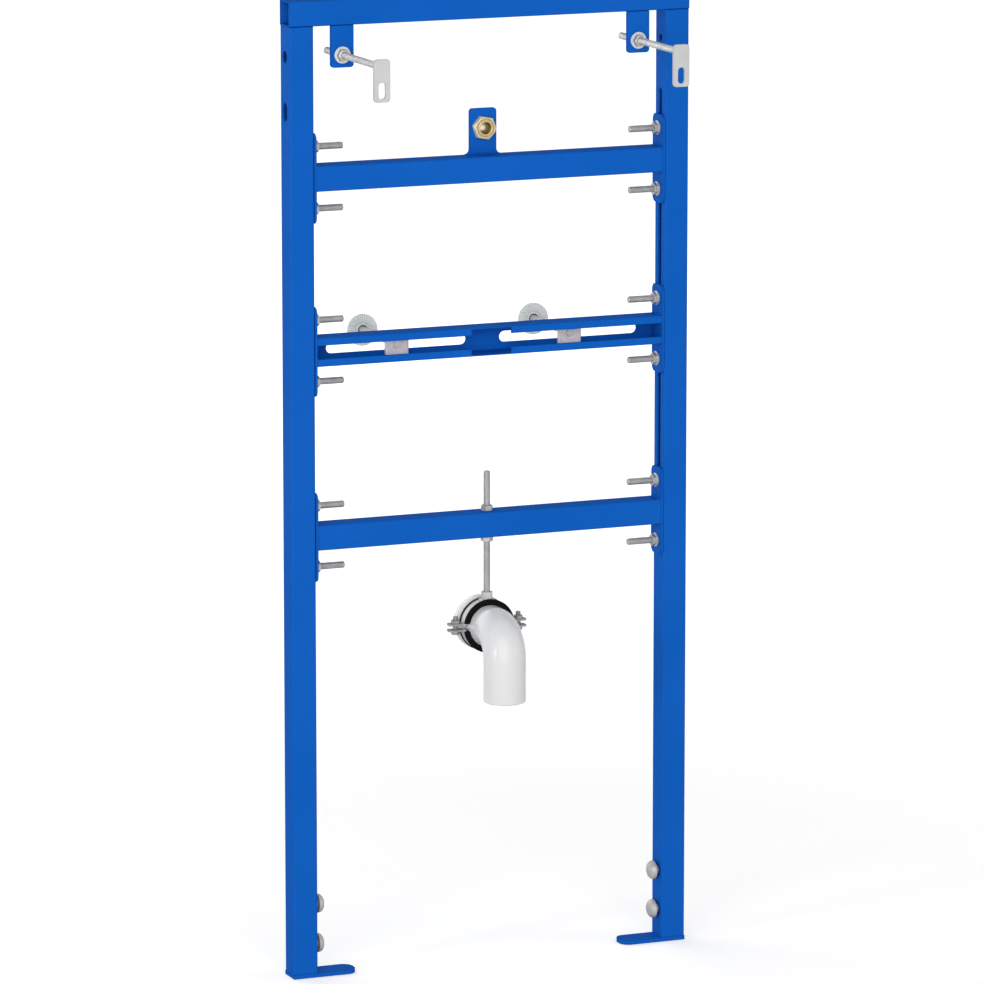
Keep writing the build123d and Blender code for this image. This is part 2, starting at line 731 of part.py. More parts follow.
# Feet: a sole under each post, its upright bolted inside the tube
upright_width = 2 * (inside - foot_upright_gap)
with BuildPart() as left_foot:
    with BuildSketch():
        with Locations((sole_reach / 2, 0)):
            Rectangle(tube + sole_reach, tube)
    extrude(amount=sole_thickness)
    fillet(left_foot.edges().filter_by(Axis.Z).group_by(Axis.X)[-1], sole_radius)
    with BuildSketch(Plane.YZ.offset(inside - foot_upright_thickness)):
        with Locations((0, sole_thickness + foot_upright_height / 2)):
            Rectangle(upright_width, foot_upright_height)
        with Locations((0, foot_bolt_low), (0, foot_bolt_low + foot_bolt_pitch)):
            Circle(bolt_diameter / 2, mode=Mode.SUBTRACT)
    extrude(amount=foot_upright_thickness)
left_foot.part.label = "left_foot"
export_step(left_foot.part, "parts/left_foot.step")

with BuildPart() as right_foot:
    mirror(left_foot.part, about=middle)
right_foot.part.label = "right_foot"
export_step(right_foot.part, "parts/right_foot.step")

# Foot bolts, screwed into the uprights through the posts' inner faces; a round neck keeps
# their domed heads clear of the tube
foot_head_radius = foot_head_diameter / 2
dome_rise = foot_head_height - foot_head_rim
dome_radius = (foot_head_radius**2 + dome_rise**2) / (2 * dome_rise)
head_start = half + foot_neck
with BuildPart() as foot_bolts:
    for bolt_z in (foot_bolt_low, foot_bolt_low + foot_bolt_pitch):
        with BuildSketch(Plane.XZ):
            with Locations((head_start + foot_head_height - dome_radius, bolt_z)):
                Circle(dome_radius)
            with Locations((head_start + foot_head_height / 2, bolt_z + foot_head_radius / 2)):
                Rectangle(foot_head_height, foot_head_radius, mode=Mode.INTERSECT)
        revolve(axis=Axis((0, 0, bolt_z), (1, 0, 0)))
        with BuildSketch(Plane.YZ.offset(half)):
            with Locations((0, bolt_z)):
                Circle(foot_neck_diameter / 2)
        extrude(amount=foot_neck)
        with BuildSketch(Plane.YZ.offset(half)):
            with Locations((0, bolt_z)):
                Circle(bolt_diameter / 2)
        extrude(amount=-tube_wall - foot_upright_thickness - foot_bolt_past)
    mirror(about=middle)
foot_bolts.part.label = "foot_bolts"
export_step(foot_bolts.part, "parts/foot_bolts.step")
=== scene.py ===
# %% [markdown]
# # Dressing a urinal installation frame
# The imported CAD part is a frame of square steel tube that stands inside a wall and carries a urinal.
# CAD gives the tubes, plates, rods and pipe their true sizes. Blender adds what the eye looks for:
# powder coat, zinc, brass and plastic, screw threads, chamfered nuts and weld beads.
# Every object is in metres and in the CAD part's own axes, so nothing has to be fitted by hand.

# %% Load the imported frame
import json
import math
import bmesh
import bpy
from mathutils import Matrix, Vector


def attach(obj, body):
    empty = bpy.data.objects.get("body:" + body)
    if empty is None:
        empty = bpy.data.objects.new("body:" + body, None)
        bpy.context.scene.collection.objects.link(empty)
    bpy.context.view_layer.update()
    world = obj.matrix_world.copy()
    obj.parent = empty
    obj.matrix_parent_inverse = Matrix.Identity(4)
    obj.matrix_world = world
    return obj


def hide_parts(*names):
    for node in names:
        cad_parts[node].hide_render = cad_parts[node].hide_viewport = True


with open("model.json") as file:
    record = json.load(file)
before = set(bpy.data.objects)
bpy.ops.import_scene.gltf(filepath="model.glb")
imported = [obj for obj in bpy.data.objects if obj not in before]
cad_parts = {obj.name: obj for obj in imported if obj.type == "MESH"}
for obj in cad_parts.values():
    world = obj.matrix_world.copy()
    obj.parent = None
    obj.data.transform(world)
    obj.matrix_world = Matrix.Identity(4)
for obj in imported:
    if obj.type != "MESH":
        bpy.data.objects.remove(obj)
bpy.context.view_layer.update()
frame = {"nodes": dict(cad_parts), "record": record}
cad_nodes = frame["nodes"]

# %% [markdown]
# ## Camera
# The photograph looks at the frame from the wall side, a little from the left and from above.
# A camera could be moved by eye until the picture looks alike. Here its place, heading and tilt were
# solved from the tube corners in the picture, which is faster and can be measured.
# A long lens from far away keeps the posts nearly parallel, as they are there.

# %% Place the camera
picture_size = 984.0
focal_pixels = 6828.3
camera_place = (-2.76063, -7.27162, 2.03717)
camera_heading = math.radians(22.4345)
camera_tilt = math.radians(10.6325)
camera_data = bpy.data.cameras.new("photo_camera")
camera_data.sensor_width = 36.0
camera_data.lens = focal_pixels / picture_size * camera_data.sensor_width
camera_data.clip_end = 80.0
camera = bpy.data.objects.new("photo_camera", camera_data)
camera.location = camera_place
camera.rotation_euler = (math.pi / 2 - camera_tilt, 0.0, -camera_heading)
bpy.context.scene.collection.objects.link(camera)
bpy.context.scene.camera = camera
print("camera lens:", round(camera_data.lens, 2), "mm")

# %% [markdown]
# ## White world
# A product picture wants an even white ground. A plain white world would give it, but a world so
# bright also lights the paint from all sides and takes its shading away.
# So the world is white for the camera, mirrors and glass, and a softer grey for the rays that light
# the object. The Light Path node tells the two kinds of ray apart.

# %% White world
def background_mask(nodes, links):
    """1 for camera, glossy and transmission rays, 0 for the rays that light the object."""
    path = nodes.new("ShaderNodeLightPath")
    first = nodes.new("ShaderNodeMath")
    first.operation = "ADD"
    links.new(path.outputs["Is Camera Ray"], first.inputs[0])
    links.new(path.outputs["Is Glossy Ray"], first.inputs[1])
    total = nodes.new("ShaderNodeMath")
    total.operation = "ADD"
    total.use_clamp = True
    links.new(first.outputs[0], total.inputs[0])
    links.new(path.outputs["Is Transmission Ray"], total.inputs[1])
    return total.outputs[0]


fill_strength = 0.33
bpy.context.scene.view_settings.view_transform = "Standard"
world = bpy.data.worlds.new("white_studio")
bpy.context.scene.world = world
world.use_nodes = True
world_nodes = world.node_tree.nodes
world_links = world.node_tree.links
fill_light = world_nodes["Background"]
fill_light.inputs["Color"].default_value = (1.0, 1.0, 1.0, 1.0)
fill_light.inputs["Strength"].default_value = fill_strength
white_ground = world_nodes.new("ShaderNodeBackground")
white_ground.inputs["Color"].default_value = (1.0, 1.0, 1.0, 1.0)
white_ground.inputs["Strength"].default_value = 1.0
world_mix = world_nodes.new("ShaderNodeMixShader")
world_links.new(background_mask(world_nodes, world_links), world_mix.inputs[0])
world_links.new(fill_light.outputs[0], world_mix.inputs[1])
world_links.new(white_ground.outputs[0], world_mix.inputs[2])
world_links.new(world_mix.outputs[0], world_nodes["World Output"].inputs["Surface"])
print("fill light from the world:", fill_strength)

# %% [markdown]
# ## Pale floor
# Without a floor the feet would seem to float. A shadow catcher would do for one picture, but a real
# diffuse plane takes the shadow of the feet in every view. It glows a little for the camera and for
# mirrors only, and more so far from the lamps, so that the ground is white to its end.

# %% Finish of the floor
glow_near, glow_far = 0.42, 0.80
glow_starts, glow_ends = 1.0, 4.5
floor_finish = bpy.data.materials.new("pale_floor")
floor_finish.use_nodes = True
floor_nodes = floor_finish.node_tree.nodes
floor_links = floor_finish.node_tree.links
floor_shader = floor_nodes["Principled BSDF"]
floor_shader.inputs["Base Color"].default_value = (0.82, 0.82, 0.82, 1.0)
floor_shader.inputs["Roughness"].default_value = 0.9
floor_shader.inputs["Specular IOR Level"].default_value = 0.1
floor_place = floor_nodes.new("ShaderNodeNewGeometry")
floor_distance = floor_nodes.new("ShaderNodeVectorMath")
floor_distance.operation = "LENGTH"
floor_links.new(floor_place.outputs["Position"], floor_distance.inputs[0])
glow_span = floor_nodes.new("ShaderNodeMapRange")
glow_span.inputs["From Min"].default_value = glow_starts
glow_span.inputs["From Max"].default_value = glow_ends
glow_span.inputs["To Min"].default_value = glow_near
glow_span.inputs["To Max"].default_value = glow_far
floor_links.new(floor_distance.outputs["Value"], glow_span.inputs["Value"])
glow_seen = floor_nodes.new("ShaderNodeMath")
glow_seen.operation = "MULTIPLY"
floor_links.new(background_mask(floor_nodes, floor_links), glow_seen.inputs[0])
floor_links.new(glow_span.outputs["Result"], glow_seen.inputs[1])
floor_glow = floor_nodes.new("ShaderNodeEmission")
floor_links.new(glow_seen.outputs[0], floor_glow.inputs["Strength"])
floor_sum = floor_nodes.new("ShaderNodeAddShader")
floor_links.new(floor_shader.outputs[0], floor_sum.inputs[0])
floor_links.new(floor_glow.outputs[0], floor_sum.inputs[1])
floor_links.new(floor_sum.outputs[0], floor_nodes["Material Output"].inputs["Surface"])
print("floor glow:", glow_near, "to", glow_far)

# %% Lay the floor
floor_reach = 30.0
floor_height = -0.0005
floor_mesh = bpy.data.meshes.new("studio_floor")
floor_corners = [
    (-floor_reach, -floor_reach, 0.0),
    (floor_reach, -floor_reach, 0.0),
    (floor_reach, floor_reach, 0.0),
    (-floor_reach, floor_reach, 0.0),
]
floor_mesh.from_pydata(floor_corners, [], [(0, 1, 2, 3)])
floor_mesh.materials.append(floor_finish)
floor = bpy.data.objects.new("studio_floor", floor_mesh)
floor.location = (0.0, 0.0, floor_height)
bpy.context.scene.collection.objects.link(floor)
print("floor reaches", floor_reach, "m each way")

# %% [markdown]
# ## Lamps
# The picture's light comes from the viewer's side: faces towards the camera are clear blue,
# the tops of the tubes are a little greyer, and the right-hand edges go dark.
# A sun would give hard shadows, so these are area lamps. A very large panel in front does most of
# the work, so large that nothing mirrors it as a bright spot. A narrow one at the far left draws
# the small highlight on the white elbow. A weak one stands at the right, and one behind lights the
# far side, which the picture doesn't show.

# %% Hang the lamps
def hang_lamp(name, place, target, size, watts):
    lamp_data = bpy.data.lights.new(name, "AREA")
    lamp_data.shape = "RECTANGLE"
    lamp_data.size = size[0]
    lamp_data.size_y = size[1]
    lamp_data.energy = watts
    lamp = bpy.data.objects.new(name, lamp_data)
    lamp.location = place
    aim = Vector(target) - Vector(place)
    lamp.rotation_euler = aim.to_track_quat("-Z", "Y").to_euler()
    bpy.context.scene.collection.objects.link(lamp)
    return lamp


frame_middle = (0.235, 0.0, 0.6)
elbow_bend = (0.235, -0.055, 0.37)
hang_lamp("front_panel", (-1.9, -4.6, 2.1), frame_middle, (5.0, 4.0), 186.0)
hang_lamp("left_strip", (-3.59, -1.22, 0.86), elbow_bend, (0.25, 0.6), 22.0)
hang_lamp("right_panel", (3.6, -1.6, 1.6), frame_middle, (1.6, 2.2), 20.0)
hang_lamp("back_panel", (-1.2, 4.4, 2.2), frame_middle, (5.0, 4.0), 105.0)

# %% [markdown]
# ## Building blocks for finishes
# A finish is more than one colour: its tone drifts, its gloss is uneven, and its edges differ.
# That could be painted on a picture, but nodes need no unwrapping and stay sharp at any distance.
# These helpers each add one step to a material: a noise, a map from noise to numbers or colours,
# and a blend towards another colour.

# %% Helpers for tones
def start_finish(name):
    finish = bpy.data.materials.new(name)
    finish.use_nodes = True
    nodes = finish.node_tree.nodes
    links = finish.node_tree.links
    shader = nodes["Principled BSDF"]
    place = nodes.new("ShaderNodeTexCoord").outputs["Object"]
    return finish, nodes, links, shader, place


def drift(nodes, links, place, scale, detail=2.0, stretch=None):
    noise = nodes.new("ShaderNodeTexNoise")
    noise.inputs["Scale"].default_value = scale
    noise.inputs["Detail"].default_value = detail
    if stretch:
        mapping = nodes.new("ShaderNodeMapping")
        mapping.inputs["Scale"].default_value = stretch
        links.new(place, mapping.inputs["Vector"])
        place = mapping.outputs["Vector"]
    links.new(place, noise.inputs["Vector"])
    return noise.outputs[0]


def numbers(nodes, links, source, low, high, start=0.3, end=0.7):
    span = nodes.new("ShaderNodeMapRange")
    span.inputs["From Min"].default_value = start
    span.inputs["From Max"].default_value = end
    span.inputs["To Min"].default_value = low
    span.inputs["To Max"].default_value = high
    links.new(source, span.inputs["Value"])
    return span.outputs["Result"]


def tones(nodes, links, source, stops):
    ramp = nodes.new("ShaderNodeValToRGB")
    marks = ramp.color_ramp.elements
    while len(marks) < len(stops):
        marks.new(0.5)
    for mark, (position, colour) in zip(marks, stops):
        mark.position = position
        mark.color = (*colour, 1.0)
    links.new(source, ramp.inputs[0])
    return ramp.outputs["Color"]


def blended(nodes, links, factor, base, colour):
    mix = nodes.new("ShaderNodeMix")
    mix.data_type = "RGBA"
    links.new(factor, mix.inputs[0])
    links.new(base, mix.inputs[6])
    mix.inputs[7].default_value = (*colour, 1.0)
    return mix.outputs[2]


print("tone helpers ready")

# %% [markdown]
# ## Edges, relief and hollows
# Edges get a tone of their own, paler for wear and painted highlight, darker as painted shade, and
# hollows get painted shade. Both could be masked by hand on each mesh.
# The edge mask instead compares the true normal with a rounded one from the Bevel node, so it finds
# edges on any mesh. Hollows are found in the same spirit, with the Ambient Occlusion node.

# %% Helpers for edges, relief and hollows
def edges(nodes, links, radius, strength):
    rounded = nodes.new("ShaderNodeBevel")
    rounded.samples = 4
    rounded.inputs["Radius"].default_value = radius
    surface = nodes.new("ShaderNodeNewGeometry")
    agree = nodes.new("ShaderNodeVectorMath")
    agree.operation = "DOT_PRODUCT"
    links.new(rounded.outputs[0], agree.inputs[0])
    links.new(surface.outputs["Normal"], agree.inputs[1])
    return numbers(nodes, links, agree.outputs["Value"], strength, 0.0, start=0.75, end=0.98)


def relief(nodes, links, shader, height, strength, depth):
    bump = nodes.new("ShaderNodeBump")
    bump.inputs["Strength"].default_value = strength
    bump.inputs["Distance"].default_value = depth
    links.new(height, bump.inputs["Height"])
    links.new(bump.outputs["Normal"], shader.inputs["Normal"])


def tint(finish, factor, tone):
    """Blend a finish's colour towards a tone, after all else that was done to it."""
    nodes = finish.node_tree.nodes
    links = finish.node_tree.links
    colour = nodes["Principled BSDF"].inputs["Base Color"]
    links.new(blended(nodes, links, factor, colour.links[0].from_socket, tone), colour)


def shaded_hollows(finish, reach, tone, full, none):
    """Paint shade into narrow hollows, where little light comes in."""
    nodes = finish.node_tree.nodes
    links = finish.node_tree.links
    hollow = nodes.new("ShaderNodeAmbientOcclusion")
    hollow.samples = 8
    hollow.inputs["Distance"].default_value = reach
    tint(finish, numbers(nodes, links, hollow.outputs["AO"], 0.9, 0.0, start=full, end=none), tone)


print("edge and hollow helpers ready")

# %% [markdown]
# ## Blue powder coat
# The tubes and plates are sprayed with dry paint that melts into one skin in an oven.
# It is satin rather than mirror bright, and very fine orange peel breaks up its reflections.
# The gloss is a thin clear coat in the shader. A full dielectric layer would mirror the white
# studio so strongly at a flat angle that the sides of the tubes would look milky.
# The edges are painted darker, towards a deep blue: painted shade where the rounded corners turn away
# from the light.

# %% Powder coat
def blue_powder_coat():
    finish, nodes, links, shader, place = start_finish("blue_powder_coat")
    cloud = drift(nodes, links, place, scale=6.0, detail=3.0)
    paint = tones(nodes, links, cloud, [(0.3, (0.0045, 0.102, 0.470)), (0.7, (0.0065, 0.111, 0.503))])
    # Painted shade: the edges blend towards a darker blue.
    edge_shade = edges(nodes, links, radius=0.0022, strength=0.85)
    edge_shade_tone = (0.0012, 0.050, 0.27)
    links.new(blended(nodes, links, edge_shade, paint, edge_shade_tone), shader.inputs["Base Color"])
    grain = drift(nodes, links, place, scale=1500.0, detail=1.0)
    links.new(numbers(nodes, links, grain, 0.54, 0.66), shader.inputs["Roughness"])
    orange_peel = drift(nodes, links, place, scale=420.0, detail=1.0)
    relief(nodes, links, shader, orange_peel, strength=0.10, depth=0.0003)
    shader.inputs["Specular IOR Level"].default_value = 0.0
    shader.inputs["Coat Weight"].default_value = 0.04
    shader.inputs["Coat Roughness"].default_value = 0.30
    return finish


powder_coat = blue_powder_coat()
# Painted shade inside the tubes, slots and holes of the frame.
shaded_hollows(powder_coat, reach=0.025, tone=(0.0004, 0.020, 0.17), full=0.12, none=0.48)
print("powder coat nodes:", len(powder_coat.node_tree.nodes))

# %% [markdown]
# ## Zinc
# Rods, nuts and washers are steel with a thin bright zinc layer. It is a metal, but a soft, cloudy
# one: part of its light is scattered. Round zinc parts look dark where they turn away from the eye,
# so the shader's tint for flat angles is a dark grey. Each finish is the same recipe with its own
# tone, because the castings are dull, the plates pale and the clamp band brushed along its length.

# %% Recipe for zinc
def zinc(name, dark, light, edge_tone, metallic, gloss, cloud_scale, stretch=None, edge=(0.0006, 0.5)):
    finish, nodes, links, shader, place = start_finish(name)
    cloud = drift(nodes, links, place, cloud_scale, 3.0, stretch)
    metal = tones(nodes, links, cloud, [(0.3, dark), (0.7, light)])
    # Edges blend to edge_tone: where it is paler than the metal this is wear, where darker it is painted
    # shade.
    edge_wear_and_shade = edges(nodes, links, *edge)
    edge_wear_and_shade_tone = (edge_tone, edge_tone, edge_tone)
    links.new(blended(nodes, links, edge_wear_and_shade, metal, edge_wear_and_shade_tone), shader.inputs["Base Color"])
    links.new(numbers(nodes, links, cloud, gloss + 0.07, gloss - 0.05), shader.inputs["Roughness"])
    grain = drift(nodes, links, place, 1100.0, 2.0, stretch)
    relief(nodes, links, shader, grain, strength=0.12, depth=0.0002)
    shader.inputs["Metallic"].default_value = metallic
    shader.inputs["Specular IOR Level"].default_value = 0.05
    shader.inputs["Specular Tint"].default_value = (0.15, 0.15, 0.15, 1.0)
    return finish


fastener_zinc = zinc(
    "zinc_fastener", dark=(0.36, 0.36, 0.36), light=(0.50, 0.50, 0.495),
    edge_tone=0.62, metallic=0.50, gloss=0.34, cloud_scale=130.0,
)
rod_zinc = zinc(
    "zinc_rod", dark=(0.40, 0.40, 0.395), light=(0.50, 0.50, 0.49),
    edge_tone=0.55, metallic=0.50, gloss=0.36, cloud_scale=110.0,
)
washer_zinc = zinc(
    "zinc_washer", dark=(0.60, 0.61, 0.62), light=(0.72, 0.72, 0.72),
    edge_tone=0.45, metallic=0.20, gloss=0.36, cloud_scale=110.0,
)
screw_zinc = zinc(
    "zinc_screw", dark=(0.26, 0.26, 0.26), light=(0.37, 0.37, 0.37),
    edge_tone=0.45, metallic=0.40, gloss=0.36, cloud_scale=130.0,
)
dome_zinc = zinc(
    "zinc_dome", dark=(0.39, 0.39, 0.385), light=(0.50, 0.50, 0.495),
    edge_tone=0.36, metallic=0.35, gloss=0.42, cloud_scale=140.0,
)
cast_zinc = zinc(
    "cast_nut", dark=(0.76, 0.70, 0.69), light=(0.90, 0.83, 0.82),
    edge_tone=0.62, metallic=0.05, gloss=0.50, cloud_scale=160.0,
)
plate_zinc = zinc(
    "galvanised_plate", dark=(0.52, 0.52, 0.525), light=(0.572, 0.572, 0.572),
    edge_tone=0.27, metallic=0.10, gloss=0.46, cloud_scale=45.0, edge=(0.0013, 0.75),
)
print("zinc finishes:", [m.name for m in bpy.data.materials if "zinc" in m.name])

# %% [markdown]
# ## Steel of the pipe clamp
# The clamp is a zinc-plated band with an ear at each side. The band is shown bright and the ears
# dark, though both are one piece of one steel: the ears' darkness is painted shade. Two materials on
# one mesh would need its faces sorted by hand, so one material turns darker with the distance from the
# clamp's middle.

# %% Clamp steel
pipe_middle = 0.235
ear_starts, ear_full = 0.0315, 0.034


def shade_the_ears(finish, tone):
    nodes = finish.node_tree.nodes
    links = finish.node_tree.links
    split = nodes.new("ShaderNodeSeparateXYZ")
    links.new(nodes.new("ShaderNodeTexCoord").outputs["Object"], split.inputs[0])
    apart = nodes.new("ShaderNodeMath")
    apart.operation = "SUBTRACT"
    links.new(split.outputs["X"], apart.inputs[0])
    apart.inputs[1].default_value = pipe_middle
    distance = nodes.new("ShaderNodeMath")
    distance.operation = "ABSOLUTE"
    links.new(apart.outputs[0], distance.inputs[0])
    tint(finish, numbers(nodes, links, distance.outputs[0], 0.0, 0.75, ear_starts, ear_full), tone)


clamp_zinc = zinc(
    "clamp_steel", dark=(0.42, 0.42, 0.425), light=(0.58, 0.58, 0.58),
    edge_tone=0.66, metallic=0.40, gloss=0.36, cloud_scale=60.0, stretch=(1.0, 9.0, 1.0),
)
# Painted shade on the ears.
shade_the_ears(clamp_zinc, (0.27, 0.27, 0.27))
print("ears begin", ear_starts, "m from the clamp's middle")

# %% [markdown]
# ## Brass
# The water connector is turned from brass bar, so its marks run round its axis, here the Y axis.
# The flats keep the paler skin of the drawn bar; their normals stand square to that axis.
# Faces whose normals stand square to that axis, the flats among them, get painted light: a paler tone.
# The bore gets painted shade, and is found by its distance from the axis. The edges get a pale tone,
# partly wear and partly painted highlight. Masks from normals and places need no separate faces, so the
# connector can stay one mesh with one finish.

# %% Turned brass
water_axis_x = 0.235
water_axis_z = 0.9899


def painted_light_on_flats(nodes, links):
    """Painted light, strong on faces that look square to the Y axis, none on faces that look along it."""
    facing = nodes.new("ShaderNodeSeparateXYZ")
    links.new(nodes.new("ShaderNodeNewGeometry").outputs["Normal"], facing.inputs[0])
    along_axis = nodes.new("ShaderNodeMath")
    along_axis.operation = "ABSOLUTE"
    links.new(facing.outputs["Y"], along_axis.inputs[0])
    return numbers(nodes, links, along_axis.outputs[0], 0.85, 0.0)


def painted_bore_shade(nodes, links, place, span=20.0):
    """Mask of the painted shade in the bore: white from just outside the duct to the bore's wall. The
    ramp covers span millimetres.
    """
    scale = 1000.0 / span
    across = nodes.new("ShaderNodeVectorMath")
    across.operation = "MULTIPLY_ADD"
    across.inputs[1].default_value = (scale, 0.0, scale)
    across.inputs[2].default_value = (-scale * water_axis_x, 0.0, -scale * water_axis_z)
    links.new(place, across.inputs[0])
    radius = nodes.new("ShaderNodeVectorMath")
    radius.operation = "LENGTH"
    links.new(across.outputs[0], radius.inputs[0])
    black, white = (0.0, 0.0, 0.0), (1.0, 1.0, 1.0)
    stops = [(4.6 / span, black), (5.4 / span, white), (7.12 / span, white), (7.4 / span, black)]
    return tones(nodes, links, radius.outputs["Value"], stops)


def turned_brass():
    finish, nodes, links, shader, place = start_finish("turned_brass")
    marks = drift(nodes, links, place, scale=500.0, detail=2.0, stretch=(0.12, 1.6, 0.12))
    metal = tones(nodes, links, marks, [(0.3, (0.50, 0.375, 0.16)), (0.7, (0.62, 0.485, 0.23))])
    # Painted light on the flats and on every face square to the axis.
    brass_light_and_shade = blended(nodes, links, painted_light_on_flats(nodes, links), metal, (0.82, 0.76, 0.60))
    # Painted shade on the bore's floor and wall.
    brass_light_and_shade = blended(nodes, links, painted_bore_shade(nodes, links, place), brass_light_and_shade, (0.24, 0.155, 0.045))
    # Edges are painted pale: partly wear, partly painted highlight.
    bright = edges(nodes, links, radius=0.0014, strength=0.9)
    links.new(blended(nodes, links, bright, brass_light_and_shade, (0.80, 0.74, 0.58)), shader.inputs["Base Color"])
    links.new(numbers(nodes, links, marks, 0.34, 0.46), shader.inputs["Roughness"])
    relief(nodes, links, shader, marks, strength=0.10, depth=0.0002)
    shader.inputs["Metallic"].default_value = 0.28
    return finish


brass = turned_brass()
# Painted shade in the bore and the groove of the connector.
shaded_hollows(brass, reach=0.006, tone=(0.17, 0.105, 0.025), full=0.10, none=0.55)
print("brass nodes:", len(brass.node_tree.nodes))

# %% [markdown]
# ## Plastic and rubber
# The waste elbow is moulded white plastic and smooth enough to show a small highlight.
# The discs are off-white nylon with a fine grain, and the clamp's lining and the seal are black
# rubber. All three are the same recipe with other tones, gloss and grain. The white is kept well
# below full white, so that its shading shows and no part of it is blown out.

# %% Plastic and rubber
def moulded(name, shade, tone, gloss, specular, grain_scale, grain_strength):
    finish, nodes, links, shader, place = start_finish(name)
    cloud = drift(nodes, links, place, scale=14.0, detail=2.0)
    links.new(tones(nodes, links, cloud, [(0.3, shade), (0.7, tone)]), shader.inputs["Base Color"])
    links.new(numbers(nodes, links, cloud, gloss - 0.04, gloss + 0.06), shader.inputs["Roughness"])
    grain = drift(nodes, links, place, grain_scale, 2.0)
    relief(nodes, links, shader, grain, grain_strength, depth=0.0003)
    shader.inputs["Specular IOR Level"].default_value = specular
    return finish


white_pipe = moulded(
    "white_pipe", shade=(0.705, 0.705, 0.705), tone=(0.73, 0.73, 0.73),
    gloss=0.19, specular=0.32, grain_scale=60.0, grain_strength=0.03,
)
white_nylon = moulded(
    "white_nylon", shade=(0.70, 0.722, 0.685), tone=(0.77, 0.79, 0.75),
    gloss=0.45, specular=0.2, grain_scale=500.0, grain_strength=0.2,
)
# Painted shade in the recess round each stud and between the ribs.
shaded_hollows(white_nylon, reach=0.004, tone=(0.06, 0.06, 0.06), full=0.35, none=0.84)
black_rubber = moulded(
    "black_rubber", shade=(0.003, 0.003, 0.003), tone=(0.007, 0.007, 0.007),
    gloss=0.65, specular=0.06, grain_scale=900.0, grain_strength=0.35,
)
print("finishes in all, without the floor:", len(bpy.data.materials) - 1)

# %% [markdown]
# ## Finishes on the CAD nodes
# The record names one finish slot for each node. A CAD node whose shape is right simply gets the
# Blender finish of that slot. Nodes that a detailed piece replaces later get it too, at no cost.

# %% Dress the CAD nodes
finish_of_slot = {
    "blue_powder_coat": powder_coat,
    "zinc_fastener": fastener_zinc,
    "cast_nut": cast_zinc,
    "galvanised_plate": plate_zinc,
    "clamp_steel": clamp_zinc,
    "brass": brass,
    "white_pipe": white_pipe,
    "white_nylon": white_nylon,
    "black_rubber": black_rubber,
}
slot_of_node = {row["node"]: row["material_slot"] for row in frame["record"]["subparts"]}
for node_name, node in cad_nodes.items():
    node.data.materials.clear()
    node.data.materials.append(finish_of_slot[slot_of_node[node_name]])
print("dressed", len(cad_nodes), "CAD nodes in", len(set(slot_of_node.values())), "finishes")

# %% [markdown]
# ## Building blocks for turned and threaded pieces
# Nuts, washers, discs and domes are all rings stacked along an axis. A ring's radius or height
# may change with the angle, which is how a round profile becomes a hexagon with curved chamfers.
# Cylinders with bevels and booleans would do as well, but rings leave no stray faces behind.
# A shape is made along +Z at the origin in millimetres, then aimed along its axis and placed.

# %% Helpers for shapes
MM = 0.001


def aimed(shape, base, axis, turn=0.0):
    points, faces = shape
    spin = Matrix.Rotation(math.radians(turn), 3, "Z")
    aim = Vector((0.0, 0.0, 1.0)).rotation_difference(Vector(axis)).to_matrix()
    move = Vector(base)
    return [(move + aim @ (spin @ Vector(p))) * MM for p in points], faces


def stacked(rings, steps=48, closed=True):
    points = []
    for radius, height in rings:
        for step in range(steps):
            angle = 2.0 * math.pi * step / steps
            r = radius(angle) if callable(radius) else radius
            z = height(angle) if callable(height) else height
            points.append((r * math.cos(angle), r * math.sin(angle), z))
    faces = []
    for ring in range(len(rings) if closed else len(rings) - 1):
        here = ring * steps
        after = (ring + 1) % len(rings) * steps
        for step in range(steps):
            side = (step + 1) % steps
            faces.append((here + step, here + side, after + side, after + step))
    return points, faces


print("shape helpers ready")

# %% [markdown]
# ## From shapes to pieces
# A piece is one mesh made of one or more shapes. Points that coincide are joined, edges of no length
# are dropped and open ends are closed, so that every mesh is a sound solid. Flat and round areas
# shade smoothly, with a crease where faces meet at more than the given angle.

# %% Helper that adds a piece
same_point = 1e-6
no_length = 1e-7


def add_piece(name, shapes, finish, stands_for=(), sharp=40.0):
    points, faces = [], []
    for shape_points, shape_faces in shapes:
        start = len(points)
        points += shape_points
        faces += [tuple(corner + start for corner in face) for face in shape_faces]
    mesh = bpy.data.meshes.new(name)
    mesh.from_pydata(points, [], faces)
    tidy = bmesh.new()
    tidy.from_mesh(mesh)
    bmesh.ops.remove_doubles(tidy, verts=tidy.verts, dist=same_point)
    bmesh.ops.dissolve_degenerate(tidy, edges=tidy.edges, dist=no_length)
    bmesh.ops.holes_fill(tidy, edges=tidy.edges, sides=0)
    bmesh.ops.recalc_face_normals(tidy, faces=tidy.faces)
    tidy.to_mesh(mesh)
    tidy.free()
    mesh.polygons.foreach_set("use_smooth", [True] * len(mesh.polygons))
    mesh.set_sharp_from_angle(angle=math.radians(sharp))
    mesh.materials.append(finish)
    piece = bpy.data.objects.new(name, mesh)
    bpy.context.scene.collection.objects.link(piece)
    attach(piece, "root")
    if stands_for:
        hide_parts(*stands_for)
    return piece


print("piece helper ready")

# %% [markdown]
# ## Screw threads
# A thread is a ridge that climbs one pitch in each turn. The mesh follows it: each row of points
# runs round the rod and rises as it goes, and the end of one turn joins the row four places on.
# So crests and roots are clean lines, which a round bar with a bumpy texture would not have.

# %% Thread helper
M6 = (6.0, 1.0)
M8 = (8.0, 1.25)
M10 = (10.0, 1.5)
TO_URINAL = (0, 1, 0)
UP = (0, 0, 1)
DOWN = (0, 0, -1)


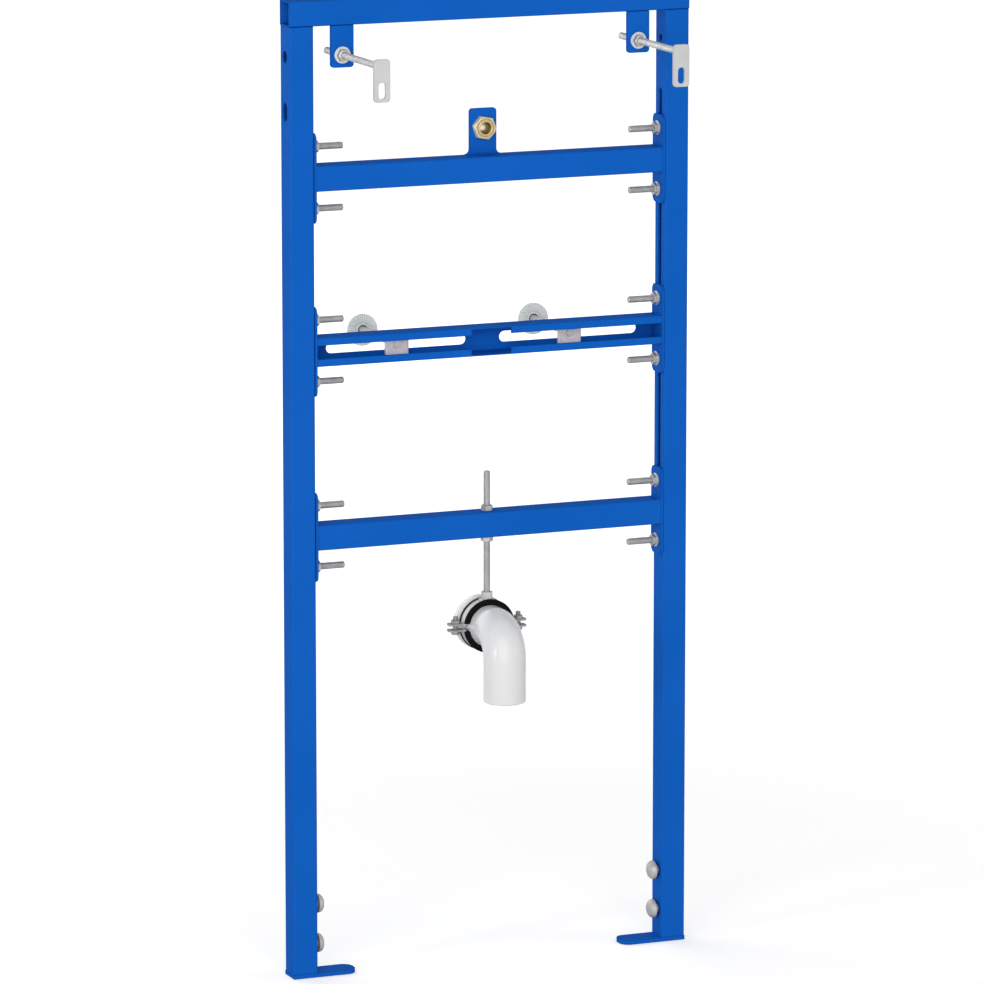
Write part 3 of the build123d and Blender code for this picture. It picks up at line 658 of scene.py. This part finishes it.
def thread(length, diameter, pitch, steps=20):
    crest = diameter / 2
    root = crest - 0.5 * pitch
    profile = ((0.0, root), (0.10, root), (0.34, crest), (0.76, crest))
    rows = (int(length / pitch) + 3) * len(profile)
    points = []
    for row in range(rows):
        rise, radius = profile[row % len(profile)]
        for step in range(steps):
            climb = row // len(profile) - 1 + rise + step / steps
            along = min(max(climb * pitch, 0.0), length)
            r = min(radius, root + min(along, length - along))
            angle = 2.0 * math.pi * step / steps
            points.append((r * math.cos(angle), r * math.sin(angle), along))
    faces = []
    for row in range(rows - 1):
        for step in range(steps):
            shift = 0 if step + 1 < steps else len(profile)
            side = (step + 1) % steps
            if row + 1 + shift < rows:
                here = row * steps
                joined = (row + shift) * steps
                faces.append((here + step, joined + side, joined + steps + side, here + steps + step))
    return points, faces


print("an M8 thread 10 mm long has", len(thread(10.0, *M8)[1]), "faces")

# %% [markdown]
# ## Wall rods
# Two rods reach from the tabs under the top rail to the wall plates. On the real frame they are
# lengths of M8 threaded rod, so each CAD cylinder is replaced by a true thread of the same size.

# %% Wall rods
rod_height = 1086.0
rod_places = {"left_wall_rod": 50.0, "right_wall_rod": 420.0}
plate_back = -136.0
rod_tail = 35.5
rod_length = rod_tail - plate_back
for rod_name, rod_x in rod_places.items():
    rod = aimed(thread(rod_length, *M8), (rod_x, plate_back, rod_height), TO_URINAL)
    add_piece(rod_name + "_thread", [rod], rod_zinc, [rod_name])
print("wall rods:", round(rod_length, 1), "mm long")

# %% [markdown]
# ## Nuts and washers
# A pressed nut is a hexagon whose corners are turned off by a cone, so each flat ends in a curve.
# A six-sided cylinder with a bevel would miss that curve. Here the height of the outer ring drops
# with its radius, and that draws the curve by itself. Flange nuts have a wide skirt in one piece
# with them, which runs up into the hexagon as a cone.

# %% Nut and washer helpers
corner_cut = 0.985
face_share = 0.95
chamfer_slope = math.tan(math.radians(30))


def hexagon(flats):
    corner = flats / 2 / math.cos(math.pi / 6) * corner_cut
    return lambda angle: min(flats / 2 / math.cos(angle % (math.pi / 3) - math.pi / 6), corner)


def nut(flats, height, bore, lead=0.5):
    outline = hexagon(flats)
    face_circle = flats / 2 * face_share

    def drop(angle):
        return (outline(angle) - face_circle) * chamfer_slope

    rings = [
        (bore / 2, lead),
        (bore / 2 + lead, 0.0),
        (face_circle, 0.0),
        (outline, drop),
        (outline, lambda angle: height - drop(angle)),
        (face_circle, height),
        (bore / 2 + lead, height),
        (bore / 2, height - lead),
    ]
    return stacked(rings)


def washer(outside, bore, thickness, soft=0.3):
    rings = [
        (bore / 2, soft),
        (bore / 2 + soft, 0.0),
        (outside / 2 - soft, 0.0),
        (outside / 2, soft),
        (outside / 2, thickness - soft),
        (outside / 2 - soft, thickness),
        (bore / 2 + soft, thickness),
        (bore / 2, thickness - soft),
    ]
    return stacked(rings, 64)


m8_nut = nut(13.0, 6.5, 8.0)
print("an M8 nut has", len(m8_nut[1]), "faces")

# %% [markdown]
# ## Washers and nuts of the wall rods
# Each rod is clamped to its tab by a washer and a nut on either face. The four sets differ only in
# place and direction, so two loops set them, and each kind is one piece, as it is one CAD node.

# %% Washers and nuts of the wall rods
tab_near = -15.0
tab_far = -11.0
washer_thickness = 1.6
wall_washer = washer(19.6, 8.0, washer_thickness)
washer_shapes = []
nut_shapes = []
for rod_x in rod_places.values():
    for face, way in ((tab_near, -1), (tab_far, 1)):
        seat = face + way * washer_thickness
        washer_shapes.append(aimed(wall_washer, (rod_x, face, rod_height), (0, way, 0)))
        nut_shapes.append(aimed(m8_nut, (rod_x, seat, rod_height), (0, way, 0)))
add_piece("wall_rod_washer_rings", washer_shapes, washer_zinc, ["wall_rod_washers"])
add_piece("wall_rod_hex_nuts", nut_shapes, fastener_zinc, ["wall_rod_nuts"])
print("washers:", len(washer_shapes), "nuts:", len(nut_shapes))

# %% [markdown]
# ## Bolts of the crossbars
# Each crossbar ends in a plate that is bolted to a post. Hammer-head bolts hang in the post's long
# slot, so the bar can be set to any height, and flange nuts lock it. The heads sit inside the tube.
# A head is a rounded rectangle, sampled by angle so that it too is a stack of rings. The nut's
# skirt is whichever is wider at each height, the cone or the hexagon.

# %% Helpers for hammer heads and flange nuts
def rounded_box(width, height, corner):
    half_w, half_h = width / 2, height / 2
    inner_w, inner_h = half_w - corner, half_h - corner

    def radius(angle):
        c, s = abs(math.cos(angle)), abs(math.sin(angle))
        flat = min(half_w / c if c > 1e-9 else 1e9, half_h / s if s > 1e-9 else 1e9)
        if flat * c <= inner_w or flat * s <= inner_h:
            return flat
        along = c * inner_w + s * inner_h
        apart = inner_w ** 2 + inner_h ** 2 - corner ** 2
        return along + math.sqrt(max(along * along - apart, 0.0))

    return radius


def hammer_head(width, length, thickness, soft=0.6):
    outline = rounded_box(width, length, 1.5)
    top = rounded_box(width - 2 * soft, length - 2 * soft, 1.0)
    rings = [(0.0, 0.0), (top, 0.0), (outline, soft), (outline, thickness - soft), (top, thickness)]
    return stacked(rings + [(0.0, thickness)], 64, closed=False)


def flange_nut(flats, height, bore, flange, rim, lead=0.4, soft=0.3, skirt_rings=7):
    outline = hexagon(flats)
    face_circle = flats / 2 * face_share
    skirt_rise = height * 0.42 - rim
    slope = (flange / 2 - flats / 2 * 0.98) / skirt_rise
    rings = [(bore / 2, lead), (bore / 2 + lead, 0.0), (flange / 2 - soft, 0.0), (flange / 2, soft)]
    rings.append((flange / 2, rim - soft))
    for part in range(skirt_rings):
        climb = part / (skirt_rings - 1) * skirt_rise
        skirt = flange / 2 - soft - slope * climb
        rings.append((lambda angle, s=skirt: max(outline(angle), s), rim + climb))

    def top(angle):
        return height - (outline(angle) - face_circle) * chamfer_slope

    rings += [(outline, top), (face_circle, height), (bore / 2 + lead, height), (bore / 2, height - lead)]
    return stacked(rings)


bar_nut = flange_nut(13.0, 6.5, 8.0, 17.0, 1.8)
print("a flange nut has", len(bar_nut[1]), "faces")

# %% Crossbar bolts and nuts
bar_heights = {"upper_crossbar": 944.0, "slotted_crossbar": 742.0, "lower_crossbar": 524.0}
right_post = 470.0
post_sides = ((0.0, 1), (right_post, -1))
bolt_spread = 36.0
bolt_start = 13.0
bolt_length = 42.0
head_thickness = 5.0
plate_face = 18.0
bar_bolt = thread(bolt_length, *M8)
bar_head = hammer_head(7.6, 19.8, head_thickness)
for bar_name, bar_z in bar_heights.items():
    bolt_shapes = []
    nut_shapes = []
    for bolt_z in (bar_z - bolt_spread, bar_z + bolt_spread):
        for post_x, way in post_sides:
            start = (post_x + way * bolt_start, 0.0, bolt_z)
            head = (post_x + way * (bolt_start - head_thickness), 0.0, bolt_z)
            seat = (post_x + way * plate_face, 0.0, bolt_z)
            bolt_shapes.append(aimed(bar_bolt, start, (way, 0, 0)))
            bolt_shapes.append(aimed(bar_head, head, (way, 0, 0)))
            nut_shapes.append(aimed(bar_nut, seat, (way, 0, 0)))
    bolts, nuts = bar_name + "_bolts", bar_name + "_nuts"
    add_piece(bar_name + "_hammer_bolts", bolt_shapes, fastener_zinc, [bolts])
    add_piece(bar_name + "_flange_nuts", nut_shapes, fastener_zinc, [nuts])
print("bolts on", len(bar_heights), "crossbars,", len(nut_shapes), "each")

# %% [markdown]
# ## Fixture studs and discs
# Two studs carry the urinal. Each is screwed into a block that slides in the slotted crossbar,
# has a plain shank in the middle, and a free threaded end. The disc that the ceramic bears on
# has fine ribs that run out from its centre, and a recess round the stud. The ribs could be a bump
# in the material, but then the disc's mesh alone would be flat, so they are rings that ripple.

# %% Fixture studs
stud_height = 742.0
stud_places = {"left": 126.0, "right": 344.0}
block_face = 7.0
shank_start = 32.0
disc_front = 118.0
disc_thickness = 4.0
disc_back = disc_front + disc_thickness
free_end = 30.0
thread_lap = 0.4
shank_lap = 0.3


def shank(length, diameter):
    rings = [(0.0, 0.0), (diameter / 2, 0.0), (diameter / 2, length), (0.0, length)]
    return stacked(rings, 40, closed=False)


screwed_end = thread(shank_start - block_face + thread_lap, *M10, steps=24)
plain_middle = shank(disc_back - shank_start + shank_lap, 9.0)
urinal_end = thread(free_end, *M10, steps=24)
for side, stud_x in stud_places.items():
    stud_shapes = [
        aimed(screwed_end, (stud_x, block_face, stud_height), TO_URINAL),
        aimed(plain_middle, (stud_x, shank_start, stud_height), TO_URINAL),
        aimed(urinal_end, (stud_x, disc_back, stud_height), TO_URINAL),
    ]
    add_piece(side + "_stud_thread", stud_shapes, washer_zinc, [side + "_fixture_stud"])
print("studs:", len(stud_places), "reaching", disc_back + free_end, "mm")

# %% Ribbed discs
rib_depth = 0.84


def ribbed_disc(outside, bore, recess, thickness, ribs, recess_depth=3.2):
    def ripple(angle):
        return rib_depth / 2 + rib_depth / 2 * math.cos(ribs * angle)

    rings = [
        (bore / 2, recess_depth),
        (recess / 2 - 0.2, recess_depth),
        (recess / 2, recess_depth - 0.2),
        (recess / 2, 0.3),
        (recess / 2 + 0.4, 0.0),
        (recess / 2 + 1.6, 0.0),
        (recess / 2 + 2.2, ripple),
        (outside / 2 - 1.6, ripple),
        (outside / 2 - 0.9, 0.15),
        (outside / 2 - 0.3, 0.5),
        (outside / 2, 1.0),
        (outside / 2, thickness - 0.6),
        (outside / 2 - 0.6, thickness),
        (bore / 2, thickness),
    ]
    return stacked(rings, 180)


disc = ribbed_disc(38.0, 9.0, 12.0, disc_thickness, 36)
disc_shapes = []
for stud_x in stud_places.values():
    disc_shapes.append(aimed(disc, (stud_x, disc_front, stud_height), TO_URINAL))
add_piece("ribbed_discs", disc_shapes, white_nylon, ["stud_discs"])
print("discs:", len(disc_shapes), "with ribs", rib_depth, "mm deep")

# %% [markdown]
# ## Channel nuts
# The block in the channel is a die casting with soft corners, a bevelled face and a countersunk
# bore. A cube with a boolean hole would leave long thin faces round the bore. Its outline is
# a rounded rectangle instead, sampled by angle so that it joins the round bore ring by ring.

# %% Channel nuts
def channel_nut(width, height, thickness, bore, bevel=1.5, face=0.35):
    body = rounded_box(width, height, 2.2)
    shoulder = rounded_box(width - 2 * bevel, height - 2 * bevel, 2.0)
    rings = [
        (bore / 2, 0.9),
        (bore / 2 + 0.9, 0.0),
        (bore / 2 + 2.4, 0.0),
        (bore / 2 + 2.8, face),
        (shoulder, face),
        (body, 1.7),
        (body, thickness),
        (bore / 2, thickness),
    ]
    return stacked(rings, 96)


block = channel_nut(28.5, 27.0, 6.0, 10.0)
for side, stud_x in stud_places.items():
    placed = aimed(block, (stud_x, block_face, stud_height), TO_URINAL)
    add_piece(side + "_channel_block", [placed], cast_zinc, [side + "_channel_nut"], sharp=30.0)
print("channel blocks:", len(stud_places))

# %% [markdown]
# ## Water connector
# A brass fitting passes through the tab on the upper crossbar. On the wall side it has a hexagon
# with a rounded lip and a groove round it; on the far side a threaded stub and a locknut.
# It is turned from hexagon bar, so it is one stack of rings: some follow the hexagon, some are round.
# The stub's thread is rings too, because its climb would hardly show on so short a length.
# The hexagon stands a little turned, as it was tightened.

# %% Profile of the brass connector
bore_radius = 7.0
bore_end = 12.0
duct_radius = 4.0
groove_inside, groove_outside, groove_floor = 9.4, 10.6, 2.4
hex_flats = 25.0
hex_face = hex_flats / 2 * 0.955
hex_outline = hexagon(hex_flats)
hex_front, hex_back = 1.2, 9.2
stub_radius = 10.45
stub_end = 27.2
turn_start, turn_pitch, turn_depth, turns = 13.3, 1.814, 1.0, 7


def hex_shoulder(angle):
    return hex_front + (hex_outline(angle) - hex_face) * chamfer_slope


connector_rings = [
    (bore_radius, 0.7),
    (bore_radius + 0.5, 0.15),
    (bore_radius + 1.0, 0.0),
    (groove_inside - 0.8, 0.0),
    (groove_inside - 0.25, 0.25),
    (groove_inside, 0.8),
    (groove_inside, groove_floor),
    (groove_outside, groove_floor),
    (groove_outside, hex_front + 0.3),
    (groove_outside + 0.3, hex_front),
    (hex_face, hex_front),
    (hex_outline, hex_shoulder),
    (hex_outline, hex_back - 0.2),
    (lambda angle: hex_outline(angle) - 0.2, hex_back),
    (stub_radius, hex_back),
    (stub_radius, turn_start - 0.3),
]
for turn in range(turns):
    crest = turn_start + turn_pitch * turn
    connector_rings.append((stub_radius, crest))
    connector_rings.append((stub_radius - turn_depth, crest + 0.75))
    connector_rings.append((stub_radius - turn_depth, crest + 0.95))
    connector_rings.append((stub_radius, crest + turn_pitch - 0.15))
connector_rings += [(stub_radius, stub_end - 0.9), (stub_radius - 0.9, stub_end)]
connector_rings += [(duct_radius + 0.6, stub_end), (duct_radius, stub_end - 0.6)]
connector_rings += [(duct_radius, bore_end), (bore_radius, bore_end)]
print("connector rings:", len(connector_rings))

# %% Brass connector and locknut
water_x = 235.0
water_z = 989.9
lip_front = 1.8
tab_back = 15.0
connector = stacked(connector_rings, 72)
connector = aimed(connector, (water_x, lip_front, water_z), TO_URINAL, turn=11.0)
add_piece("brass_connector", [connector], brass, ["water_connector"], sharp=32.0)
locknut = nut(24.0, 6.0, 2 * stub_radius)
locknut = aimed(locknut, (water_x, tab_back, water_z), TO_URINAL, turn=30.0)
add_piece("brass_locknut", [locknut], brass, ["water_connector_nut"], sharp=25.0)
print("connector:", stub_end, "mm long")

# %% [markdown]
# ## Hanger rod
# The pipe clamp hangs on an M8 rod through the lower crossbar, with a nut above and below the tube.
# It is made as the wall rods are: a true thread in place of the CAD cylinder, and two pressed nuts.

# %% Hanger rod and nuts
pipe_x = 235.0
rod_start = 432.9
rod_top = 586.0
half_bar = 15.0
bar_z = bar_heights["lower_crossbar"]
hanger_rod = aimed(thread(rod_top - rod_start, *M8), (pipe_x, 0.0, rod_start), UP)
add_piece("hanger_rod_thread", [hanger_rod], fastener_zinc, ["hanger_rod"])
hanger_nuts = [
    aimed(m8_nut, (pipe_x, 0.0, bar_z + half_bar), UP),
    aimed(m8_nut, (pipe_x, 0.0, bar_z - half_bar), DOWN),
]
add_piece("hanger_hex_nuts", hanger_nuts, fastener_zinc, ["hanger_rod_nuts"])
print("hanger rod:", round(rod_top - rod_start, 1), "mm")

# %% [markdown]
# ## Clamp screws
# Two M6 screws close the clamp. Their heads are under the ears and their nuts on top.
# The head's hexagon hollow could be cut with a boolean. Here it is part of the stack of rings,
# which goes down the hollow, over the rim and round to the seat.

# %% Clamp screws and nuts
def screw_head(diameter, height, socket=5.0, depth=2.4):
    hollow = hexagon(socket)
    rings = [
        (0.0, height - depth),
        (hollow, height - depth),
        (hollow, height - 0.2),
        (lambda angle: hollow(angle) + 0.3, height),
        (diameter / 2 - 1.0, height),
        (diameter / 2 - 0.3, height - 0.35),
        (diameter / 2, height - 1.0),
        (diameter / 2, 0.2),
        (diameter / 2 - 0.2, 0.0),
        (0.0, 0.0),
    ]
    return stacked(rings, 48, closed=False)


ear_under = 397.3
ear_over = 406.7
screw_offset = 39.9
screw_length = 17.9
screw_shapes = []
screw_nuts = []
for way in (-1, 1):
    screw_x = pipe_x + way * screw_offset
    screw_shapes.append(aimed(screw_head(10.0, 4.0), (screw_x, 0.0, ear_under), DOWN))
    screw_shapes.append(aimed(thread(screw_length, *M6), (screw_x, 0.0, ear_under), UP))
    screw_nuts.append(aimed(nut(10.0, 4.0, 6.0), (screw_x, 0.0, ear_over), UP))
add_piece("clamp_machine_screws", screw_shapes, screw_zinc, ["clamp_screws"])
add_piece("clamp_hex_nuts", screw_nuts, screw_zinc, ["clamp_screw_nuts"])
print("clamp screws:", len(screw_nuts))

# %% [markdown]
# ## Foot bolts
# The feet slide into the posts and are held by bolts with domed heads, two on each inner face.
# A round neck keeps each head clear of the tube, so a dark gap shows behind it.
# A squashed sphere would be too thin at its edge. The head is a stack of rings: a flat back,
# an upright rim, and rings that shrink along a quarter of an oval with a full shoulder.

# %% Foot bolts
foot_bolt_heights = (38.0, 85.6)
post_face = 15.0
shoulder = 0.85


def domed_bolt(diameter, height, rim, neck, neck_diameter, arc=10):
    radius = diameter / 2
    rise = height - rim
    rings = [(0.0, 0.0), (neck_diameter / 2, 0.0), (neck_diameter / 2, neck), (radius - 0.3, neck)]
    rings += [(radius, neck + 0.3), (radius, neck + rim)]
    for part in range(1, arc + 1):
        lean = math.pi / 2 * (1 - part / arc)
        lift = rise * math.cos(lean) ** shoulder
        rings.append((radius * math.sin(lean) ** shoulder, neck + rim + lift))
    return stacked(rings, 48, closed=False)


dome = domed_bolt(22.5, 8.0, 1.0, 4.0, 11.0)
foot_thread = thread(10.0, *M8)
bolt_shapes = []
for bolt_z in foot_bolt_heights:
    for post_x, way in post_sides:
        seat = (post_x + way * post_face, 0.0, bolt_z)
        bolt_shapes.append(aimed(dome, seat, (way, 0, 0)))
        bolt_shapes.append(aimed(foot_thread, seat, (-way, 0, 0)))
add_piece("domed_foot_bolts", bolt_shapes, dome_zinc, ["foot_bolts"])
print("foot bolts:", len(bolt_shapes) // 2)

# %% [markdown]
# ## Weld beads
# The end plates, tabs and posts are welded before painting, so the seams are blue as well.
# The clamp's boss is welded to its band before both are zinc plated.
# A bevelled curve could serve as a bead. A stack of rings is used again, because its radius can
# swell and shrink a little, like the ripples that a welder leaves, and narrow at both ends.

# %% Bead helper
seam_half = 11.5
bead_radius = 1.5


def bead(start, end, radius=bead_radius, ripple=1.5):
    start, end = Vector(start), Vector(end)
    length = (end - start).length
    count = max(int(length / (ripple / 4)), 8)
    rings = []
    for part in range(count + 1):
        along = length * part / count
        taper = min(1.0, 0.35 + min(along, length - along) / 3.0)
        swell = 1.0 + 0.10 * math.sin(2.0 * math.pi * along / ripple)
        rings.append((radius * taper * swell, along))
    rings = [(0.0, 0.0)] + rings + [(0.0, length)]
    return aimed(stacked(rings, 12, closed=False), start, (end - start).normalized())


def bead_across(x, z):
    """A bead along Y, across most of a tube's width."""
    return bead((x, -seam_half, z), (x, seam_half, z))


def bead_along(x, half, y, z):
    """A bead along X, to both sides of a tab's middle."""
    return bead((x - half, y, z), (x + half, y, z))


print("a bead 23 mm long has", len(bead_across(0.0, 0.0)[1]), "faces")

# %% Weld beads
rail_under = 1120.0
wall_tab_half = 12.5
water_tab_half, water_tab_back = 20.0, 11.0
half_heights = {"upper_crossbar": half_bar, "slotted_crossbar": 17.0, "lower_crossbar": half_bar}
seams = []
for bar_name, bar_z in bar_heights.items():
    for plate_x in (plate_face, right_post - plate_face):
        for way in (-1, 1):
            seams.append(bead_across(plate_x, bar_z + way * half_heights[bar_name]))
add_piece("crossbar_welds", seams, powder_coat, (), sharp=60.0)
rail_seams = []
for seam_x in (post_face, right_post - post_face):
    rail_seams.append(bead_across(seam_x, rail_under))
for tab_x in rod_places.values():
    rail_seams.append(bead_along(tab_x, wall_tab_half, tab_far, rail_under))
water_tab_foot = bar_heights["upper_crossbar"] + half_bar
rail_seams.append(bead_along(water_x, water_tab_half, water_tab_back, water_tab_foot))
add_piece("tab_and_rail_welds", rail_seams, powder_coat, (), sharp=60.0)
print("painted weld beads:", len(seams) + len(rail_seams))

# %% Weld beads of the clamp's boss
boss_foot = 432.3
boss_half, boss_seam_half = 7.0, 5.4
boss_bead_radius = 1.8
boss_seams = []
for way in (-1, 1):
    seam_x = pipe_x + way * boss_half
    seam_ends = (seam_x, -boss_seam_half, boss_foot), (seam_x, boss_seam_half, boss_foot)
    boss_seams.append(bead(*seam_ends, radius=boss_bead_radius))
add_piece("clamp_boss_welds", boss_seams, clamp_zinc, (), sharp=60.0)
print("zinc-plated weld beads:", len(boss_seams))

# %% Update the scene
bpy.context.view_layer.update()
